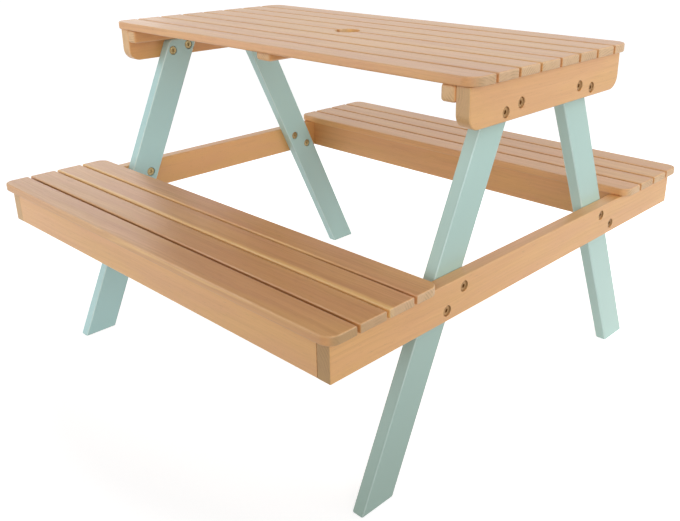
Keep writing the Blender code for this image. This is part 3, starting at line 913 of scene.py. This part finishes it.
def batten(node, group, slat_nodes, sideways):
    """A batten with a screw up into each slat, and screws sideways into the end board.

    sideways has each side screw's place, as a share of the batten's length.
    """
    low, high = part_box(node)
    obj = block(low, high)
    rounded(obj, BATTEN_EDGE_RADIUS)
    middle = (low + high) / 2
    places = []
    for slat_node in slat_nodes:
        slat_low, slat_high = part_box(slat_node)
        near = max(low.y + SCREW_EDGE_DISTANCE, slat_low.y + SCREW_SLAT_DISTANCE)
        far = min(high.y - SCREW_EDGE_DISTANCE, slat_high.y - SCREW_SLAT_DISTANCE)
        if near <= far:
            x = middle.x + dice.uniform(-SCREW_STRAY, SCREW_STRAY)
            places.append((x, (near + far) / 2, low.z + SCREW_SUNK_BY, (0, 0, -1)))
    for share in sideways:
        y = low.y + (high.y - low.y) * share
        x, facing_x = (low.x + SCREW_SUNK_BY, -1) if high.x > 0 else (high.x - SCREW_SUNK_BY, 1)
        places.append((x, y, middle.z + SIDE_SCREW_RISE, (facing_x, 0, 0)))
    cutters = []
    for x, y, z, direction in places:
        spot = facing(x, y, z, direction, dice.uniform(0, math.pi / 2))
        screws[group].append(screw_form(spot))
        cutters.append(screw_cutter(spot))
    for cutter in cutters:
        cut(obj, cutter)
    wooden(node, final_mesh(obj, cutters), Y_AXIS, X_AXIS, BOARD_WOOD)


top_slats = [f"top_slat_{n}" for n in range(1, 9)]
for end_name in ("right", "left"):
    batten(f"top_batten_{end_name}", "tabletop", top_slats, TOP_SIDE_SCREWS)
batten("top_batten_middle_front", "tabletop", top_slats[:4], ())
batten("top_batten_middle_back", "tabletop", top_slats[4:], ())
for bench in ("front", "back"):
    bench_slats = [f"{bench}_seat_slat_{n}" for n in range(1, 5)]
    for end_name in ("right", "left"):
        batten(f"{bench}_seat_batten_{end_name}", f"{bench}_bench", bench_slats, BENCH_SIDE_SCREWS)
    batten(f"{bench}_seat_batten_middle", f"{bench}_bench", bench_slats, ())
for group, forms in screws.items():
    mesh = joined(forms).data
    grain_values(mesh, Z_AXIS, X_AXIS, (0, 0), 0)
    smooth_sides(mesh, METAL_SHARP_FROM)
    piece(f"screws_{group}", mesh, BOLT_METAL)


# Legs

LEG_TOP = LEG_BOX[1].z
SLOPE = (FOOT_SPREAD - LEG_TOP_SPREAD) / 2 / LEG_TOP
LEAN = math.atan(SLOPE)
LEVEL_WIDTH = LEG_WIDTH / math.cos(LEAN)


def leg(end_name, side_name, side):
    """A leaning leg with level ends, one rounded top corner and four sunk bolt holes."""
    node = f"leg_{end_name}_{side_name}"
    low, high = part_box(node)
    foot_outer = FOOT_SPREAD / 2
    top_outer = LEG_TOP_SPREAD / 2
    lean = math.degrees(LEAN)
    radius = LEG_TOP_CORNER_RADIUS
    tangent = radius * math.tan(math.radians(90 - lean) / 2)
    points = [(foot_outer - LEVEL_WIDTH, 0), (foot_outer, 0)]
    points += arc((top_outer - tangent, LEG_TOP - radius), radius, lean, 90, CORNER_STEPS)
    points.append((top_outer - LEVEL_WIDTH, LEG_TOP))
    obj = prism(points, low.x, high.x, lambda u, v, w: (w, side * u, v))
    rounded(obj, LEG_EDGE_RADIUS)
    cutters = [bolt_cutter(f"bolt_{end_name}_{side_name}_{n}") for n in range(1, 5)]
    for cutter in cutters:
        cut(obj, cutter)
    mesh = final_mesh(obj, cutters)
    grain_values(mesh, (0, -side * SLOPE, 1), Y_AXIS, LEG_PITH, dice.uniform(0, LOG_LENGTH))
    count = len(mesh.vertices)
    # How much painted cool light this leg gets
    set_values(mesh, "cool_light", "FLOAT", "POINT", [COOL_LIGHT_SHARE.get(node, 0.0)] * count)
    # How much dust and painted shade darken this leg's foot
    set_values(mesh, "dust_and_shade", "FLOAT", "POINT", [DUST_AND_SHADE.get(node, LEAST_DUST_AND_SHADE)] * count)
    smooth_sides(mesh, WOOD_SHARP_FROM)
    piece(node + "_finished", mesh, LEG_PAINT, [node])


for end_name in ("right", "left"):
    for side_name, side in (("front", -1), ("back", 1)):
        leg(end_name, side_name, side)


# Bolts

def bolt_mesh():
    """A bolt with its sleeve nut, along Z with the head on top, and a hexagon in each end."""
    top = BOLTED - HEAD_SUNK_BY
    bottom = HEAD_SUNK_BY
    seat = top - HEAD_THICKNESS
    nut_seat = bottom + HEAD_THICKNESS
    edge = HEAD_CHAMFER
    profile = [(0, top)]
    profile += reversed(arc((BOLT_HEAD_RADIUS - edge, top - edge), edge, 0, 90, CHAMFER_STEPS))
    profile += [(BOLT_HEAD_RADIUS, seat), (SHANK_RADIUS, seat)]
    profile += [(SHANK_RADIUS, nut_seat), (NUT_HEAD_RADIUS, nut_seat)]
    nut_edge = (NUT_HEAD_RADIUS - edge, bottom + edge)
    profile += reversed(arc(nut_edge, edge, 270, 360, CHAMFER_STEPS))
    profile += [(0, bottom)]
    bolt = turned(profile)
    sockets = []
    for level, way in ((top, 1), (bottom, -1)):
        shape = [
            (0, level + way * RECESS_BEYOND),
            (SOCKET_RADIUS + SOCKET_FLARE + RECESS_BEYOND, level + way * RECESS_BEYOND),
            (SOCKET_RADIUS, level - way * SOCKET_FLARE),
            (SOCKET_RADIUS, level - way * SOCKET_DEPTH),
            (0, level - way * (SOCKET_DEPTH + SOCKET_TIP)),
        ]
        sockets.append(turned(shape, Matrix.Rotation(SOCKET_TURN, 4, "Z"), steps=6))
    for socket in sockets:
        cut(bolt, socket)
    mesh = final_mesh(bolt, sockets)
    grain_values(mesh, Z_AXIS, X_AXIS, (0, 0), 0)
    on_head = [float(point.co.z > BOLTED / 2) for point in mesh.vertices]
    set_values(mesh, "head", "FLOAT", "POINT", on_head)
    smooth_sides(mesh, METAL_SHARP_FROM)
    return mesh


BOLT = bolt_mesh()
for end_name, end in (("right", 1), ("left", -1)):
    for side_name in ("front", "back"):
        for number in range(1, 5):
            node = f"bolt_{end_name}_{side_name}_{number}"
            y, z, _ = bolt_place(node)
            mesh = BOLT.copy()
            turn = Matrix.Rotation(dice.uniform(0, math.pi / 3), 4, "Z")
            mesh.transform(along_x(end, LEG_INNER_X, y, z) @ turn)
            piece(node + "_finished", mesh, BOLT_METAL, [node])


# Stage, light and view

def stage():
    """A white floor and surroundings. The camera and reflections see them white, with a faint
    shadow around the feet. From below the floor is clear, so that the underside can be seen.
    """
    tree = Tree("floor_looks")
    bpy.ops.mesh.primitive_plane_add(size=FLOOR_SIZE, location=(0, 0, 0))
    floor = bpy.context.object
    floor.name = "floor"
    floor.data.materials.append(tree.material)
    place = tree.node("ShaderNodeTexCoord").outputs["Object"]
    away = tree.length(tree.vector("SUBTRACT", place, FLOOR_LIGHTEST))
    light = tree.ranged(away, *FLOOR_SHADES_REACH, *FLOOR_SHADES)
    glow = tree.ranged(tree.length(place), *FLOOR_GLOW_REACH, *FLOOR_GLOW)
    tree.put(tree.shader.inputs["Base Color"], tree.mix(light, (0.0, 0.0, 0.0), (1.0, 1.0, 1.0)))
    tree.shader.inputs["Roughness"].default_value = 0.9
    tree.shader.inputs["Specular IOR Level"].default_value = 0.1
    tree.shader.inputs["Emission Color"].default_value = (1, 1, 1, 1)
    tree.put(tree.shader.inputs["Emission Strength"], tree.math("MULTIPLY", tree.seen(), glow))
    below = tree.node("ShaderNodeNewGeometry").outputs["Backfacing"]
    clear = tree.node("ShaderNodeBsdfTransparent").outputs[0]
    both = tree.node("ShaderNodeMixShader", {0: below, 1: tree.shader.outputs[0], 2: clear})
    tree.put(tree.nodes["Material Output"].inputs["Surface"], both.outputs[0])

    world = bpy.data.worlds.new("studio")
    bpy.context.scene.world = world
    world.use_nodes = True
    tree = Tree.over(world.node_tree)
    direction = tree.node("ShaderNodeTexCoord").outputs["Generated"]
    light = SURROUNDINGS
    for azimuth, rise, sharpness, strength in GLOWS:
        turn = math.radians(azimuth)
        towards = Vector((math.sin(turn), -math.cos(turn), rise)).normalized()
        dot = tree.node("ShaderNodeVectorMath", {0: direction, 1: towards}, operation="DOT_PRODUCT")
        nearness = tree.math("MAXIMUM", dot.outputs["Value"], 0.0)
        light = tree.math("MULTIPLY_ADD", tree.math("POWER", nearness, sharpness), strength, light)
    strength = tree.ranged(tree.seen(), 0.0, 1.0, light, 1.0, False)
    tree.put(tree.nodes["Background"].inputs["Color"], (1, 1, 1))
    tree.put(tree.nodes["Background"].inputs["Strength"], strength)


def lamp(name, place, aim, size, power):
    light = bpy.data.lights.new(name, "AREA")
    light.shape = "RECTANGLE"
    light.size, light.size_y = size
    light.energy = power
    obj = bpy.data.objects.new(name, light)
    bpy.context.scene.collection.objects.link(obj)
    obj.location = place
    obj.rotation_euler = (Vector(aim) - Vector(place)).to_track_quat("-Z", "Y").to_euler()


def camera():
    """The photo's view, whose image is 680 by 521."""
    azimuth, elevation, roll = (
        math.radians(angle) for angle in (CAMERA_AZIMUTH, CAMERA_ELEVATION, CAMERA_ROLL))
    back = Vector((math.sin(azimuth) * math.cos(elevation),
                   -math.cos(azimuth) * math.cos(elevation), math.sin(elevation)))
    right = Vector((math.cos(azimuth), math.sin(azimuth), 0))
    up = back.cross(right)
    right, up = (math.cos(roll) * right + math.sin(roll) * up,
                 math.cos(roll) * up - math.sin(roll) * right)
    data = bpy.data.cameras.new("photo_view")
    data.lens = CAMERA_LENS
    data.sensor_width = CAMERA_SENSOR
    data.shift_x, data.shift_y = CAMERA_SHIFT
    data.clip_start = CAMERA_CLIP_START
    obj = bpy.data.objects.new("photo_view", data)
    bpy.context.scene.collection.objects.link(obj)
    turn = Matrix((right, up, back)).transposed().to_4x4()
    obj.matrix_world = Matrix.Translation(CAMERA_PLACE) @ turn
    bpy.context.scene.camera = obj


stage()
for lamp_name, settings in LAMPS.items():
    lamp(lamp_name, *settings)
camera()
bpy.context.scene.view_settings.view_transform = "Standard"
